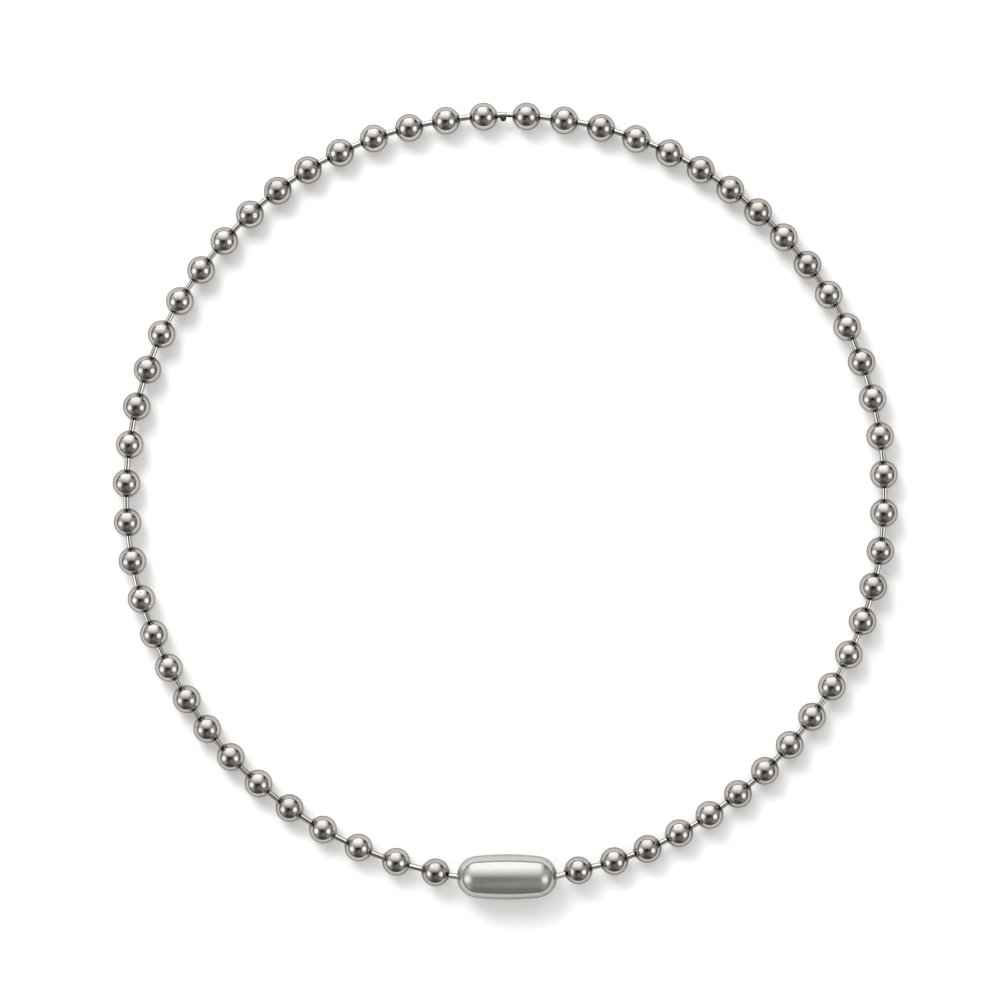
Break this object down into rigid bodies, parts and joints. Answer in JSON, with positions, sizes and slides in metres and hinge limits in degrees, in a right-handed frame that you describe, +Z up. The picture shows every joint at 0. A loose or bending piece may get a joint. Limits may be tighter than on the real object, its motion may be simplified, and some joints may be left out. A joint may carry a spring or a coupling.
{
  "type": "ball chain necklace",
  "caption": "Closed loop of hollow steel balls on headed wire links, lying flat, fastened by a smooth capsule clasp.",
  "frame": {"origin": "the middle of the necklace's box, on the surface that it lies on", "axes": "+Z up from that surface; the clasp lies along X at the -Y side of the loop, and the joining link is at the +Y side"},
  "size_m": [0.1438, 0.1458, 0.0082],
  "materials": {
    "ball_steel": "bright polished stainless steel with fine pits and scratches",
    "wire_steel": "drawn steel wire, bright, with fine lengthwise lines",
    "joint_steel": "drawn steel wire with a dull bead of solder",
    "clasp_steel": "fine satin polished stainless steel"
  },
  "bodies": {
    "root": {"chain_balls": "ball_steel", "chain_links": "wire_steel", "joining_link": "joint_steel", "capsule_clasp": "clasp_steel"}
  },
  "joints": []
}
